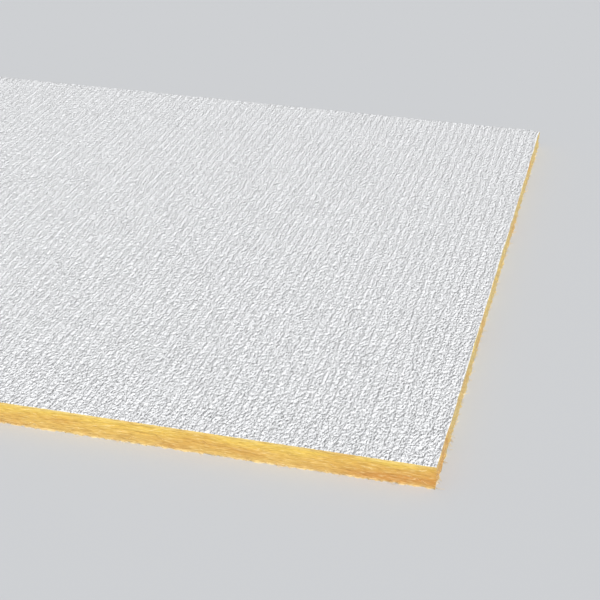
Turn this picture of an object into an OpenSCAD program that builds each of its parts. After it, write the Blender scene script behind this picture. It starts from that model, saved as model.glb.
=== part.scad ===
// Lay-in ceiling panel: a glass wool board with an embossed white facing bonded to its face.
// It lies on its back, face up, centred on the origin with its back in the plane z = 0.
// X runs along the long edges, Y along the short edges and the ribs, Z up through the thickness.

/* [Panel] */
// Long side, about 6 mm under a 48 inch grid module
panel_l = 1213; // [600:1:1800]
// Short side, about 6 mm under a 24 inch grid module
panel_w = 603; // [300:1:1200]
// Thickness of the glass wool board without its facing
board_t = 15.2; // [8:0.1:50]

/* [Facing] */
// Thickness of the facing under its deepest hollows
film_t = 0.2; // [0.1:0.05:0.5]
// Height of the ribs above the deepest hollows
rib_h = 0.5; // [0.4:0.05:0.9]
// Distance from one rib to the next
rib_pitch = 6.65; // [5.5:0.05:12]
// Width of the flat crest of a rib
crest_w = 0.8; // [0.4:0.1:1.6]
// Width of a rib across its foot
foot_w = 3.2; // [2:0.1:4]
// Height of a rib's foot above the deepest hollows
foot_h = 0.15; // [0.1:0.05:0.25]
// Width of the floor of the hollow between two ribs
hollow_w = 0.8; // [0.3:0.1:1]
// Most that a shallow hollow's floor lies above the deepest one
hollow_rise = 0.1; // [0:0.05:0.1]
// Number that picks which hollows are shallow
emboss_seed = 24; // [1:1:99]

/* [Hidden] */
board_colour = "#EBC163";
facing_colour = "#DFE0E3";

// The roll is cut anywhere in its pattern, so the last hollow at each end lies past the cut.
ribs_each_way = ceil(panel_l / 2 / rib_pitch);
hollow_floors = rands(0, hollow_rise, 2 * ribs_each_way + 1, emboss_seed);
// A corner of the pattern that lies closer to a cut end than this is left out.
end_margin = 0.1;
crest_z = film_t + rib_h;
foot_z = film_t + foot_h;

// Floor of the hollow to the left of a rib, counted from the rib in the middle
function floor_z(rib) = film_t + hollow_floors[rib + ribs_each_way];

// Top of the section from the hollow left of a rib to the right side of the rib's foot
function rib_points(rib) =
    let (
        crest_x = rib * rib_pitch,
        hollow_x = crest_x - rib_pitch / 2
    )
    [
        [hollow_x - hollow_w / 2, floor_z(rib)],
        [hollow_x + hollow_w / 2, floor_z(rib)],
        [crest_x - foot_w / 2, foot_z],
        [crest_x - crest_w / 2, crest_z],
        [crest_x + crest_w / 2, crest_z],
        [crest_x + foot_w / 2, foot_z]
    ];

// Top of the facing across the ribs, cut at both ends of the panel
function embossed_top() =
    let (
        roll = [for (rib = [-ribs_each_way : ribs_each_way]) each rib_points(rib)],
        cut_x = panel_l / 2
    )
    [
        [-cut_x, lookup(-cut_x, roll)],
        for (p = roll) if (abs(p.x) < cut_x - end_margin) p,
        [cut_x, lookup(cut_x, roll)]
    ];

module facing_film() {
    section = concat([[panel_l / 2, 0], [-panel_l / 2, 0]], embossed_top());
    color(facing_colour)
        translate([0, 0, board_t])
            rotate([90, 0, 0])
                linear_extrude(height = panel_w, center = true)
                    polygon(section);
}

module glass_wool_board() {
    color(board_colour)
        linear_extrude(height = board_t)
            square([panel_l, panel_w], center = true);
}

glass_wool_board();
facing_film();
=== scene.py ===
import math
import random

import bmesh
import bpy
from mathutils import Matrix, Quaternion, Vector


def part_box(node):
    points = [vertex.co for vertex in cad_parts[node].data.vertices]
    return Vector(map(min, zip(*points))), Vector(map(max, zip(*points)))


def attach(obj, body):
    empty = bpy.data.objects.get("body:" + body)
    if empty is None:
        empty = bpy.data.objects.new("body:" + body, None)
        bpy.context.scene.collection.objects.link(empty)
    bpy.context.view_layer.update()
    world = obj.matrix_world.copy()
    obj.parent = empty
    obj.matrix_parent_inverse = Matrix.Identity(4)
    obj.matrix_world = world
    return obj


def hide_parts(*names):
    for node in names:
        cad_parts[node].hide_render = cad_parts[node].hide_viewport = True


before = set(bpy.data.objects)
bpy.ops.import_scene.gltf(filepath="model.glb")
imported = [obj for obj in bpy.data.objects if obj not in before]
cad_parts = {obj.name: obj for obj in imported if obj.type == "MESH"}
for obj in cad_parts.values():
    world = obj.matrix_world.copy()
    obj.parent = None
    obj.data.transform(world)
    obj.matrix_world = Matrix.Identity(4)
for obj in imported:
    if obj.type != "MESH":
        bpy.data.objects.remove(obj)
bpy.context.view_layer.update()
filmLow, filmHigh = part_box("facing_film")
boardLow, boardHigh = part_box("glass_wool_board")
mmPerMetre = 1000.0
tiny = 1e-6                    # metres, for telling coordinates apart


def clearSelection():
    bpy.ops.object.select_all(action="DESELECT")
    bpy.context.view_layer.objects.active = None


def keepPiece(piece, slot, *nodes):
    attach(piece, "root")
    if nodes:
        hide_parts(*nodes)
    piece.data.update()
    triangles = sum(len(p.vertices) - 2 for p in piece.data.polygons)
    print("made", piece.name, "with", triangles, "triangles")


def selectIn(piece, kind, wanted):
    # edit mode: selects the vertices or edges for which wanted() is true
    bpy.ops.mesh.select_mode(type={"verts": "VERT", "edges": "EDGE"}[kind])
    bpy.ops.mesh.select_all(action="DESELECT")
    shape = bmesh.from_edit_mesh(piece.data)
    for item in getattr(shape, kind):
        if wanted(item):
            item.select_set(True)
    shape.select_flush_mode()
    bmesh.update_edit_mesh(piece.data)


def cloudTexture(name, size, depth):
    # noise for a Displace modifier, its lumps about size metres across
    texture = bpy.data.textures.new(name, "CLOUDS")
    texture.noise_scale = size
    texture.noise_depth = depth
    texture.noise_basis = "IMPROVED_PERLIN"
    return texture


def displace(piece, name, texture, direction, strength, group=""):
    bump = piece.modifiers.new(name, "DISPLACE")
    bump.texture = texture
    bump.texture_coords = "LOCAL"
    bump.direction = direction
    bump.strength = strength
    bump.mid_level = 0.5
    bump.vertex_group = group
    bpy.ops.object.modifier_apply(modifier=name)


def flattenAt(level):
    # edit mode: moves what is selected straight up or down to one height
    bpy.ops.transform.resize(value=(1, 1, 0), center_override=(0, 0, level))


def shutFlatSide():
    # edit mode: one face across the selected rim, with a crisp edge
    bpy.ops.mesh.mark_sharp()
    bpy.ops.mesh.edge_face_add()


def finishShape(smoothUnder):
    # from edit mode: normals outward, and faces that meet at a smaller angle shaded as one
    bpy.ops.mesh.select_all(action="SELECT")
    bpy.ops.mesh.normals_make_consistent(inside=False)
    bpy.ops.object.mode_set(mode="OBJECT")
    bpy.ops.object.shade_smooth_by_angle(angle=math.radians(smoothUnder))


# Facing: the embossed white film

facing = {
    "ribPitch": 0.00665,       # as in the frame's own facing
    "ribHeight": 0.00051,
    "ribSharpness": 1000,      # higher is a narrower rib
    "columnsPerRib": 11,
    "rowLength": 0.0135,
    "spare": 0.008,            # pattern made past each end before the film is cut to length
    "wander": 0.0048,          # how far a rib strays sideways
    "wanderSize": 0.016,
    "breakUp": 0.00030,        # how far a rib rises and sinks along its length
    "breakSize": 0.0062,
    "breakStretch": 4.0,       # the breaks are this much longer than they are wide
    "mergeWithin": 0.00008,    # takes out the slivers that the cut to length leaves
    "cutRough": 0.00025,       # raggedness of the film's cut
    "cutSeed": 3,
    "thinnest": 0.00006,       # keeps the film above the board
    "smoothUnder": 50,         # degrees
}


def buildFacing():
    size = filmHigh - filmLow
    pitch = facing["ribPitch"]
    column = pitch / facing["columnsPerRib"]
    columns = 2 * round((size.x / 2 + facing["spare"]) / column)
    rows = round(size.y / facing["rowLength"])
    clearSelection()
    bpy.ops.mesh.primitive_grid_add(x_subdivisions=columns, y_subdivisions=rows, size=1)
    piece = bpy.context.object
    piece.name = piece.data.name = "embossed_facing"
    bpy.ops.object.mode_set(mode="EDIT")
    bpy.ops.transform.resize(value=(columns * column, size.y / facing["breakStretch"], 1))
    bpy.ops.transform.translate(value=(0, 0, filmHigh.z - facing["ribHeight"]))
    bpy.ops.object.mode_set(mode="OBJECT")

    press = piece.modifiers.new("pressed ribs", "WAVE")  # evenly spaced, with a rib on the middle
    press.use_y = False
    press.use_normal = False
    press.speed = 0
    press.start_position_x = pitch * math.ceil(size.x / pitch)
    press.width = pitch / 2
    press.narrowness = facing["ribSharpness"]
    press.height = facing["ribHeight"]
    bpy.ops.object.modifier_apply(modifier="pressed ribs")
    displace(piece, "broken ribs", cloudTexture("breaks", facing["breakSize"], 1), "Z", facing["breakUp"])
    displace(piece, "stray ribs", cloudTexture("stray", facing["wanderSize"], 1), "X", facing["wander"])

    bpy.ops.object.mode_set(mode="EDIT")
    bpy.ops.mesh.select_all(action="SELECT")
    bpy.ops.transform.resize(value=(1, facing["breakStretch"], 1), center_override=(0, 0, 0))
    for end in (-1, 1):  # cut to length, straight through the pattern
        bpy.ops.mesh.select_all(action="SELECT")
        bpy.ops.mesh.bisect(plane_co=(end * size.x / 2, 0, 0), plane_no=(end, 0, 0), clear_outer=True)
    bpy.ops.mesh.select_all(action="SELECT")
    bpy.ops.mesh.remove_doubles(threshold=facing["mergeWithin"])
    selectIn(piece, "edges", lambda e: e.is_boundary)
    bpy.ops.transform.vertex_random(offset=facing["cutRough"], uniform=1.0, seed=facing["cutSeed"])
    lowest = filmLow.z + facing["thinnest"]
    selectIn(piece, "verts", lambda v: v.co.z < lowest)
    flattenAt(lowest)
    selectIn(piece, "edges", lambda e: e.is_boundary)
    bpy.ops.mesh.extrude_edges_move()
    flattenAt(filmLow.z)
    shutFlatSide()
    finishShape(facing["smoothUnder"])
    top = max(v.co.z for v in piece.data.vertices)
    print("facing top", round(top * mmPerMetre, 3), "mm, frame", round(filmHigh.z * mmPerMetre, 3), "mm")
    return piece


# Board: the yellow glass wool

board = {
    "step": 0.0015,            # length of a face along a cut edge
    "layers": 19,
    "layerStretch": 9.0,       # the wool is drawn this much taller while its noise is laid on
    "lumps": {"ends": 0.0032, "sides": 0.0014},     # depth of the uneven cut
    "lumpSize": 0.013,
    "tufts": {"ends": 0.0022, "sides": 0.0011},     # depth of the fine fibre ends
    "tuftSize": 0.0042,
    "fringe": 0.0008,          # raggedness of the lower rim
    "fringeSeed": 5,
    "smoothUnder": 60,         # degrees
}


def buildBoard():
    size = boardHigh - boardLow
    clearSelection()
    bpy.ops.mesh.primitive_plane_add(size=1, location=(0, 0, 0))
    piece = bpy.context.object
    piece.name = piece.data.name = "wool_board"
    bpy.ops.object.mode_set(mode="EDIT")
    bpy.ops.transform.resize(value=(size.x, size.y, 1))
    bpy.ops.mesh.delete(type="ONLY_FACE")
    for axis in (0, 1):
        cuts = round(math.sqrt(size[axis] / board["step"])) - 1
        for again in range(2):  # one subdivide makes 100 cuts at most
            selectIn(piece, "edges", lambda e: abs(e.verts[0].co[axis] - e.verts[1].co[axis]) > tiny)
            bpy.ops.mesh.subdivide(number_cuts=cuts)
    bpy.ops.mesh.select_all(action="SELECT")
    layer = size.z * board["layerStretch"] / board["layers"]
    for step in range(board["layers"]):
        bpy.ops.mesh.extrude_edges_move(TRANSFORM_OT_translate={"value": (0, 0, layer)})
    bpy.ops.object.mode_set(mode="OBJECT")

    ends = piece.vertex_groups.new(name="ends")
    sides = piece.vertex_groups.new(name="sides")
    ends.add([v.index for v in piece.data.vertices if abs(v.co.x) > size.x / 2 - tiny], 1, "REPLACE")
    sides.add([v.index for v in piece.data.vertices if abs(v.co.y) > size.y / 2 - tiny], 1, "REPLACE")
    lumps = cloudTexture("lumps", board["lumpSize"], 1)
    tufts = cloudTexture("tufts", board["tuftSize"], 2)
    for direction, group in (("X", "ends"), ("Y", "sides")):
        displace(piece, "lumps " + group, lumps, direction, board["lumps"][group], group)
        displace(piece, "tufts " + group, tufts, direction, board["tufts"][group], group)

    bpy.ops.object.mode_set(mode="EDIT")
    bpy.ops.mesh.select_all(action="SELECT")
    bpy.ops.transform.resize(value=(1, 1, 1 / board["layerStretch"]), center_override=(0, 0, 0))
    bpy.ops.transform.translate(value=(0, 0, boardLow.z))
    selectIn(piece, "verts", lambda v: v.co.z < boardLow.z + tiny)
    bpy.ops.transform.vertex_random(offset=board["fringe"], uniform=1.0, seed=board["fringeSeed"])
    middle = (boardLow.z + boardHigh.z) / 2
    for level in (boardLow.z, boardHigh.z):
        selectIn(piece, "edges", lambda e: e.is_boundary and (e.verts[0].co.z > middle) == (level > middle))
        flattenAt(level)
        shutFlatSide()
    finishShape(board["smoothUnder"])
    return piece


# Loose fibres: ends of glass wool that stand out of the cut edges

loose = {
    "thick": 0.00026,
    "corners": 3,
    "lengths": (0.0018, 0.0028, 0.0040, 0.0058),
    "curls": (0.10, -0.16, 0.22, -0.12),      # sideways step of each joint, as a share of its length
    "joints": 4,
    "taper": 0.84,
    "depth": 0.0008,           # a fibre is rooted this far inside the cut
    "scale": (0.8, 1.25),
    "seed": 24,
    # along the lower rim
    "rim": {"perMetre": 760, "height": (0.0003, 0.0012), "lean": (0.25, 0.75), "rise": (-0.04, 0.22)},
    # spread over the cut, clear of the facing
    "cut": {"perMetre": 330, "height": (0.001, boardHigh.z - boardLow.z - 0.0006), "lean": (0.2, 0.5),
            "rise": (-0.25, 0.25)},
}


def modelFibre(length, curl):
    clearSelection()
    bpy.ops.mesh.primitive_circle_add(vertices=loose["corners"], radius=loose["thick"] / 2, fill_type="NGON")
    shape = bpy.context.object
    step = length / loose["joints"]
    bpy.ops.object.mode_set(mode="EDIT")
    bpy.ops.mesh.select_all(action="SELECT")
    for joint in range(loose["joints"]):
        bpy.ops.mesh.extrude_region_move(TRANSFORM_OT_translate={"value": (curl * joint * step, 0, step)})
        bpy.ops.transform.resize(value=(loose["taper"], loose["taper"], 1))
    bpy.ops.mesh.select_all(action="SELECT")
    bpy.ops.mesh.normals_make_consistent(inside=False)
    bpy.ops.object.mode_set(mode="OBJECT")
    return shape


def fibreSpots(draw):
    # root, direction and size of each fibre, edge by edge
    half = (boardHigh - boardLow) / 2
    for out in (Vector((1, 0, 0)), Vector((0, -1, 0)), Vector((-1, 0, 0)), Vector((0, 1, 0))):
        along = Vector((-out.y, out.x, 0))
        reach = abs(along.x) * half.x + abs(along.y) * half.y
        away = abs(out.x) * half.x + abs(out.y) * half.y - loose["depth"]
        for band in (loose["rim"], loose["cut"]):
            for spot in range(round(band["perMetre"] * 2 * reach)):
                height = draw.uniform(*band["height"])
                root = out * away + along * draw.uniform(-reach, reach) + Vector((0, 0, boardLow.z + height))
                lean = draw.uniform(*band["lean"])
                rise = draw.uniform(*band["rise"])
                way = along * draw.choice((-1, 1)) + out * lean + Vector((0, 0, rise))
                yield root, way, draw.uniform(*loose["scale"])


def buildFibres():
    kinds = [modelFibre(length, curl) for length, curl in zip(loose["lengths"], loose["curls"])]
    draw = random.Random(loose["seed"])
    copies = []
    clearSelection()
    for root, way, size in fibreSpots(draw):
        kind = draw.choice(kinds)
        copy = bpy.data.objects.new("fibre", kind.data.copy())
        turn = way.to_track_quat("Z", "Y") @ Quaternion((0, 0, 1), draw.uniform(0, 2 * math.pi))
        copy.data.transform(Matrix.LocRotScale(root, turn, Vector((size, size, size))))
        heights = [v.co.z for v in copy.data.vertices]
        lift = max(boardLow.z - min(heights), 0) - max(max(heights) - boardHigh.z, 0)
        copy.data.transform(Matrix.Translation((0, 0, lift)))  # stays between the back and the facing
        bpy.context.collection.objects.link(copy)
        copy.select_set(True)
        copies.append(copy)
    piece = copies[-1]
    bpy.context.view_layer.objects.active = piece
    bpy.ops.object.join()
    piece.name = piece.data.name = "edge_fibres"
    for kind in kinds:
        bpy.data.objects.remove(kind)
    return piece


# Materials

def hexColour(code):
    # sRGB hex to the linear values that the shaders take
    channels = [int(code[i:i + 2], 16) / 255 for i in (1, 3, 5)]
    linear = [c / 12.92 if c <= 0.04045 else ((c + 0.055) / 1.055) ** 2.4 for c in channels]
    return (*linear, 1.0)


def addNode(material, kind, settings=(), links=(), stops=()):
    node = material.node_tree.nodes.new(kind)
    for name, value in dict(settings).items():
        setattr(node, name, value)
    for name, value in dict(links).items():
        socket = node.inputs[name]
        if isinstance(value, bpy.types.NodeSocket):
            material.node_tree.links.new(value, socket)
        else:
            socket.default_value = value
    for place, (position, code) in enumerate(stops):
        ramp = node.color_ramp.elements
        stop = ramp[place] if place < 2 else ramp.new(position)  # a new ramp has two stops
        stop.position = position
        stop.color = hexColour(code)
    return node


def newMaterial(name):
    material = bpy.data.materials.new(name)
    material.use_nodes = True
    material.node_tree.nodes.clear()
    return material


def finishMaterial(material, shader):
    addNode(material, "ShaderNodeOutputMaterial", {}, {"Surface": shader.outputs[0]})
    return material


vinyl = {
    "white": "#F4F5F7",
    # painted shade: the strands' hollows are drawn darker, as the shade that falls in them
    "creaseShade": "#B8BABE",
    # painted shade: small dark spots drawn where pits would hold shade, the pits themselves have no depth
    "pitShade": "#55565A",
    "mound": (1.95, 3.6),                 # mm, across and along the ribs
    "moundHeight": 1.6,                   # mm
    "moundRoughness": 0.5,                # height of the mounds of half that size, as a share
    "pebble": (0.5, 1.1),                 # mm, across and along the ribs
    "pebbleLean": 0.85,
    "strand": (2.4, 3.8),                 # mm, a patch of strands that run side by side
    "strandsPerPatch": 1.3,
    "strandOrder": 0.75,                  # 1 is all along the ribs, 0 is every way
    "strandHeight": 0.06,                 # mm
    "creaseShadeRange": (0.12, 0.4),             # of the strands' height, from painted shade in the hollows to the white crowns
    "pitSpacing": 62.0,                   # mm
    "pitSize": 0.8,                       # mm
    "roughness": 0.6,
    "ior": 1.53,
}


def embossedVinyl():
    # PVC film, calendered white and pressed with a crepe roll: matte, cool white, a crepe of small mounds
    # drawn out along the ribs, and fine pebbles that each lean their own way. The real ones are finer and
    # flatter, they are drawn as coarse and steep as they need to show.
    film = newMaterial("embossed_pvc_film")
    place = addNode(film, "ShaderNodeTexCoord").outputs["Object"]
    mm = addNode(film, "ShaderNodeVectorMath", {"operation": "SCALE"}, {
        0: place, "Scale": mmPerMetre}).outputs[0]

    strandPlace = addNode(film, "ShaderNodeMapping", {"vector_type": "TEXTURE"}, {
        "Vector": mm, "Scale": (*vinyl["strand"], 1)}).outputs[0]
    strands = addNode(film, "ShaderNodeTexGabor", {"gabor_type": "2D"}, {
        "Vector": strandPlace, "Scale": 1.0, "Frequency": vinyl["strandsPerPatch"],
        "Anisotropy": vinyl["strandOrder"], "Orientation": 0.0}).outputs["Value"]
    ridged = addNode(film, "ShaderNodeBump", {}, {
        "Strength": 1.0, "Distance": vinyl["strandHeight"] / mmPerMetre, "Height": strands}).outputs["Normal"]

    moundPlace = addNode(film, "ShaderNodeMapping", {"vector_type": "TEXTURE"}, {
        "Vector": mm, "Scale": (*vinyl["mound"], 1)}).outputs[0]
    fromTop = addNode(film, "ShaderNodeTexVoronoi", {"voronoi_dimensions": "2D"}, {
        "Vector": moundPlace, "Scale": 1.0, "Detail": 1.0, "Roughness": vinyl["moundRoughness"],
        "Lacunarity": 2.0}).outputs["Distance"]
    crepe = addNode(film, "ShaderNodeBump", {"invert": True}, {
        "Strength": 1.0, "Distance": vinyl["moundHeight"] / mmPerMetre, "Height": fromTop,
        "Normal": ridged}).outputs["Normal"]

    pebblePlace = addNode(film, "ShaderNodeMapping", {"vector_type": "TEXTURE"}, {
        "Vector": mm, "Scale": (*vinyl["pebble"], 1)}).outputs[0]
    pebbles = addNode(film, "ShaderNodeTexVoronoi", {"voronoi_dimensions": "2D"}, {
        "Vector": pebblePlace, "Scale": 1.0}).outputs["Color"]  # one random colour a pebble
    lean = addNode(film, "ShaderNodeVectorMath", {"operation": "SUBTRACT"}, {
        0: pebbles, 1: (0.5, 0.5, 0.5)}).outputs[0]
    leaning = addNode(film, "ShaderNodeVectorMath", {"operation": "MULTIPLY_ADD"}, {
        0: lean, 1: (vinyl["pebbleLean"], vinyl["pebbleLean"], 0), 2: crepe}).outputs[0]
    normal = addNode(film, "ShaderNodeVectorMath", {"operation": "NORMALIZE"}, {0: leaning}).outputs[0]

    # painted shade: the colour darkens where the strands lie low and is white on their crowns
    tone = addNode(film, "ShaderNodeValToRGB", {}, {"Fac": strands}, [
        (vinyl["creaseShadeRange"][0], vinyl["creaseShade"]), (vinyl["creaseShadeRange"][1], vinyl["white"])]).outputs["Color"]
    # painted shade: a dark spot at each pit, in place of the shade inside it
    spot = addNode(film, "ShaderNodeTexVoronoi", {"voronoi_dimensions": "2D"}, {
        "Vector": mm, "Scale": 1 / vinyl["pitSpacing"]}).outputs["Distance"]
    isPit = addNode(film, "ShaderNodeMath", {"operation": "LESS_THAN"}, {
        0: spot, 1: vinyl["pitSize"] / 2 / vinyl["pitSpacing"]}).outputs[0]
    colour = addNode(film, "ShaderNodeMix", {"data_type": "RGBA"}, {
        "Factor": isPit, 6: tone, 7: hexColour(vinyl["pitShade"])}).outputs[2]
    shader = addNode(film, "ShaderNodeBsdfPrincipled", {}, {
        "Base Color": colour, "Roughness": vinyl["roughness"], "IOR": vinyl["ior"], "Normal": normal})
    return finishMaterial(film, shader)


wool = {
    "byHeight": [(0.0, "#E6D3A2"), (0.07, "#D8B56A"), (0.16, "#D2AC5D"), (0.5, "#DBB459"), (0.85, "#E2BF57"),
                 (1.0, "#E2C97C")],
    "ends": "#C0AE78",
    "endRange": (0.4, 0.7),               # how squarely a cut faces an end, from none to all of the tone
    "endShare": 0.9,
    "amber": "#C2853F",
    "amberRange": (0.5, 0.8),             # of the patches, from none to all of the tone
    "amberShare": (0.15, 0.8),            # on the back, which stays pale, and above it
    "backHeight": 0.12,                   # share of the thickness over which the back's share runs out
    "patch": (60.0, 60.0, 12.0),          # mm, size of a patch with more resin
    "stainAt": (586.0, -300.0, 5.0),      # mm, the browner corner
    "stainSize": (95.0, 60.0, 13.0),      # mm
    "stainRange": (1.0, 0.3),             # share of that size, from none to all of the stain
    "stainShare": 0.2,
    "shadow": "#A0743A",
    "shadowRange": (0.5, 0.34),           # of the bundles' height, from none to all of the tone
    "pale": "#EED89C",
    "paleRange": (0.52, 0.68),
    "streakShare": 0.8,
    "bundle": (15.0, 1.3, 0.5),           # mm, length, width and height of a bundle of fibres
    "bundleTurns": (3, 17, -14),          # degrees, most bundles lie about along the board
    "bundleHeight": 0.4,                  # mm
    "roughness": 0.85,
    "ior": 1.5,
}


def glassWool():
    # glass wool bonded with phenolic resin, saw cut: matte yellow, bundles of fibres lying flat in every
    # direction. Single fibres are too fine to show, so bundles of them are drawn.
    cut = newMaterial("resin_bonded_glass_wool")
    place = addNode(cut, "ShaderNodeTexCoord").outputs["Object"]
    mm = addNode(cut, "ShaderNodeVectorMath", {"operation": "SCALE"}, {
        0: place, "Scale": mmPerMetre}).outputs[0]
    level = addNode(cut, "ShaderNodeSeparateXYZ", {}, {0: place}).outputs["Z"]
    height = addNode(cut, "ShaderNodeMapRange", {}, {
        "Value": level, "From Min": boardLow.z, "From Max": boardHigh.z}).outputs[0]
    byHeight = addNode(cut, "ShaderNodeValToRGB", {}, {"Fac": height}, wool["byHeight"]).outputs["Color"]

    outward = addNode(cut, "ShaderNodeNewGeometry").outputs["True Normal"]
    endward = addNode(cut, "ShaderNodeSeparateXYZ", {}, {0: outward}).outputs["X"]
    eitherEnd = addNode(cut, "ShaderNodeMath", {"operation": "ABSOLUTE"}, {0: endward}).outputs[0]
    isEnd = addNode(cut, "ShaderNodeMapRange", {}, {
        "Value": eitherEnd, "From Min": wool["endRange"][0], "From Max": wool["endRange"][1],
        "To Max": wool["endShare"]}).outputs[0]
    sawn = addNode(cut, "ShaderNodeMix", {"data_type": "RGBA"}, {
        "Factor": isEnd, 6: byHeight, 7: hexColour(wool["ends"])}).outputs[2]

    patchPlace = addNode(cut, "ShaderNodeMapping", {"vector_type": "TEXTURE"}, {
        "Vector": mm, "Scale": wool["patch"]}).outputs[0]
    patch = addNode(cut, "ShaderNodeTexNoise", {}, {
        "Vector": patchPlace, "Scale": 1.0, "Detail": 2.0}).outputs["Fac"]
    stainPlace = addNode(cut, "ShaderNodeMapping", {"vector_type": "TEXTURE"}, {
        "Vector": mm, "Location": wool["stainAt"], "Scale": wool["stainSize"]}).outputs[0]
    fromStain = addNode(cut, "ShaderNodeVectorMath", {"operation": "LENGTH"}, {
        0: stainPlace}).outputs["Value"]
    stain = addNode(cut, "ShaderNodeMapRange", {}, {
        "Value": fromStain, "From Min": wool["stainRange"][0], "From Max": wool["stainRange"][1],
        "To Max": wool["stainShare"]}).outputs[0]
    darkness = addNode(cut, "ShaderNodeMath", {"operation": "ADD"}, {0: patch, 1: stain}).outputs[0]
    mostAmber = addNode(cut, "ShaderNodeMapRange", {}, {
        "Value": height, "From Max": wool["backHeight"], "To Min": wool["amberShare"][0],
        "To Max": wool["amberShare"][1]}).outputs[0]
    isAmber = addNode(cut, "ShaderNodeMapRange", {}, {
        "Value": darkness, "From Min": wool["amberRange"][0], "From Max": wool["amberRange"][1],
        "To Max": mostAmber}).outputs[0]
    resin = addNode(cut, "ShaderNodeMix", {"data_type": "RGBA"}, {
        "Factor": isAmber, 6: sawn, 7: hexColour(wool["amber"])}).outputs[2]

    bundles = []
    for turn in wool["bundleTurns"]:
        lying = addNode(cut, "ShaderNodeMapping", {"vector_type": "TEXTURE"}, {
            "Vector": mm, "Rotation": (0, 0, math.radians(turn)), "Scale": wool["bundle"]}).outputs[0]
        bundles.append(addNode(cut, "ShaderNodeTexNoise", {}, {
            "Vector": lying, "Scale": 1.0, "Detail": 2.0, "Roughness": 0.6}).outputs["Fac"])
    ways = addNode(cut, "ShaderNodeCombineXYZ", {}, dict(zip("XYZ", bundles))).outputs[0]
    fibres = addNode(cut, "ShaderNodeVectorMath", {"operation": "DOT_PRODUCT"}, {
        0: ways, 1: (1 / 3, 1 / 3, 1 / 3)}).outputs["Value"]  # the mean of the three
    inShade = addNode(cut, "ShaderNodeMapRange", {}, {
        "Value": fibres, "From Min": wool["shadowRange"][0], "From Max": wool["shadowRange"][1],
        "To Max": wool["streakShare"]}).outputs[0]
    inLight = addNode(cut, "ShaderNodeMapRange", {}, {
        "Value": fibres, "From Min": wool["paleRange"][0], "From Max": wool["paleRange"][1],
        "To Max": wool["streakShare"]}).outputs[0]
    darker = addNode(cut, "ShaderNodeMix", {"data_type": "RGBA"}, {
        "Factor": inShade, 6: resin, 7: hexColour(wool["shadow"])}).outputs[2]
    colour = addNode(cut, "ShaderNodeMix", {"data_type": "RGBA"}, {
        "Factor": inLight, 6: darker, 7: hexColour(wool["pale"])}).outputs[2]
    normal = addNode(cut, "ShaderNodeBump", {}, {
        "Strength": 1.0, "Distance": wool["bundleHeight"] / mmPerMetre, "Height": fibres}).outputs["Normal"]
    shader = addNode(cut, "ShaderNodeBsdfPrincipled", {}, {
        "Base Color": colour, "Roughness": wool["roughness"], "IOR": wool["ior"], "Normal": normal})
    return finishMaterial(cut, shader)


strandGlass = {
    "tints": [(0.35, "#E2BC74"), (0.65, "#F4E2B4")],
    "tintsPerMetre": 260.0,
    "roughness": 0.45,
    "ior": 1.52,
}


def glassFibre():
    # drawn glass with a film of resin: pale straw with a faint gloss
    strand = newMaterial("resin_coated_glass_fibre")
    place = addNode(strand, "ShaderNodeTexCoord").outputs["Object"]
    tint = addNode(strand, "ShaderNodeTexNoise", {}, {
        "Vector": place, "Scale": strandGlass["tintsPerMetre"], "Detail": 1.0}).outputs["Fac"]
    colour = addNode(strand, "ShaderNodeValToRGB", {}, {"Fac": tint}, strandGlass["tints"]).outputs["Color"]
    shader = addNode(strand, "ShaderNodeBsdfPrincipled", {}, {
        "Base Color": colour, "Roughness": strandGlass["roughness"], "IOR": strandGlass["ior"]})
    return finishMaterial(strand, shader)


facingPiece = buildFacing()
facingPiece.data.materials.append(embossedVinyl())
keepPiece(facingPiece, "embossed_vinyl", "facing_film")

boardPiece = buildBoard()
boardPiece.data.materials.append(glassWool())
keepPiece(boardPiece, "glass_wool", "glass_wool_board")

fibrePiece = buildFibres()
fibrePiece.data.materials.append(glassFibre())
keepPiece(fibrePiece, "glass_wool")


# Studio: floor, light and camera

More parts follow.
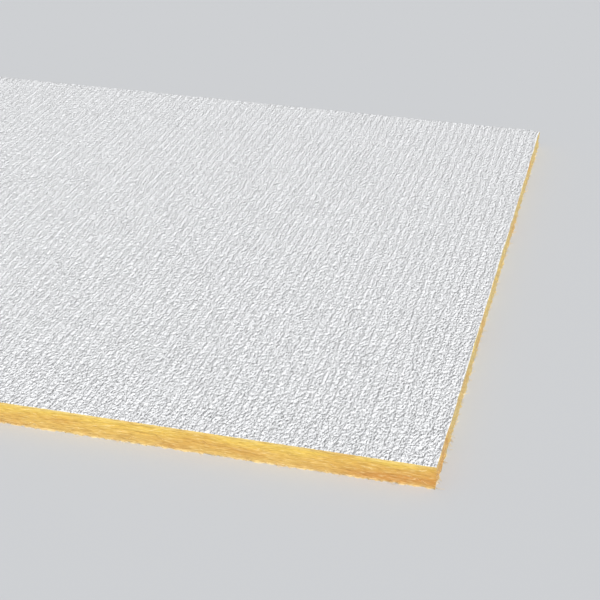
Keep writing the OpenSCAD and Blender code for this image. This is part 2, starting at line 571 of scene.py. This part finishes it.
studio = {
    "floorSize": 60.0,
    "floorColour": "#C9CBCE",
    "floorRoughness": 0.9,
    "floorIor": 1.45,
    "sunStrength": 3.6,
    "sunAngle": 22.0,          # degrees across, for soft shadows
    "sunAzimuth": 40.0,        # degrees round from the front edge to the right
    "sunElevation": 36.0,
    "sunDistance": 3.0,
    "worldColour": "#FFFFFF",
    "worldStrength": 0.38,
}
photoCamera = {
    "lensMm": 89.0,
    "sensorMm": 36.0,
    "fromCorner": (0.0892, -0.7351, 0.4696),      # from the face's near right corner
    "aimFromCorner": (-0.1298, 0.1911, 0.0),      # point of the face in the middle of the frame
    "rollDeg": 1.35,
}


def paleFloor():
    # matte studio paper
    paper = newMaterial("studio_paper")
    shader = addNode(paper, "ShaderNodeBsdfPrincipled", {}, {
        "Base Color": hexColour(studio["floorColour"]), "Roughness": studio["floorRoughness"],
        "IOR": studio["floorIor"]})
    return finishMaterial(paper, shader)


clearSelection()
bpy.ops.mesh.primitive_plane_add(size=studio["floorSize"], location=(0, 0, boardLow.z))
floor = bpy.context.object
floor.name = "floor"
floor.data.materials.append(paleFloor())

azimuth = math.radians(studio["sunAzimuth"])
elevation = math.radians(studio["sunElevation"])
level = math.cos(elevation)
toSun = Vector((math.sin(azimuth) * level, -math.cos(azimuth) * level, math.sin(elevation)))
bpy.ops.object.light_add(type="SUN", location=toSun * studio["sunDistance"])
sun = bpy.context.object
sun.data.energy = studio["sunStrength"]
sun.data.angle = math.radians(studio["sunAngle"])
sun.rotation_euler = toSun.to_track_quat("Z", "Y").to_euler()

world = bpy.data.worlds.new("studio")
world.use_nodes = True
backdrop = world.node_tree.nodes["Background"]
backdrop.inputs["Color"].default_value = hexColour(studio["worldColour"])
backdrop.inputs["Strength"].default_value = studio["worldStrength"]
bpy.context.scene.world = world

corner = Vector((filmHigh.x, filmLow.y, filmHigh.z))
cameraPlace = corner + Vector(photoCamera["fromCorner"])
looking = corner + Vector(photoCamera["aimFromCorner"]) - cameraPlace
bpy.ops.object.camera_add(location=cameraPlace)
camera = bpy.context.object
camera.data.lens = photoCamera["lensMm"]
camera.data.sensor_width = photoCamera["sensorMm"]
camera.rotation_mode = "QUATERNION"
roll = Quaternion((0, 0, 1), math.radians(photoCamera["rollDeg"]))
camera.rotation_quaternion = looking.to_track_quat("-Z", "Y") @ roll
bpy.context.scene.camera = camera
bpy.context.scene.view_settings.view_transform = "Standard"
print("studio lit, camera set")
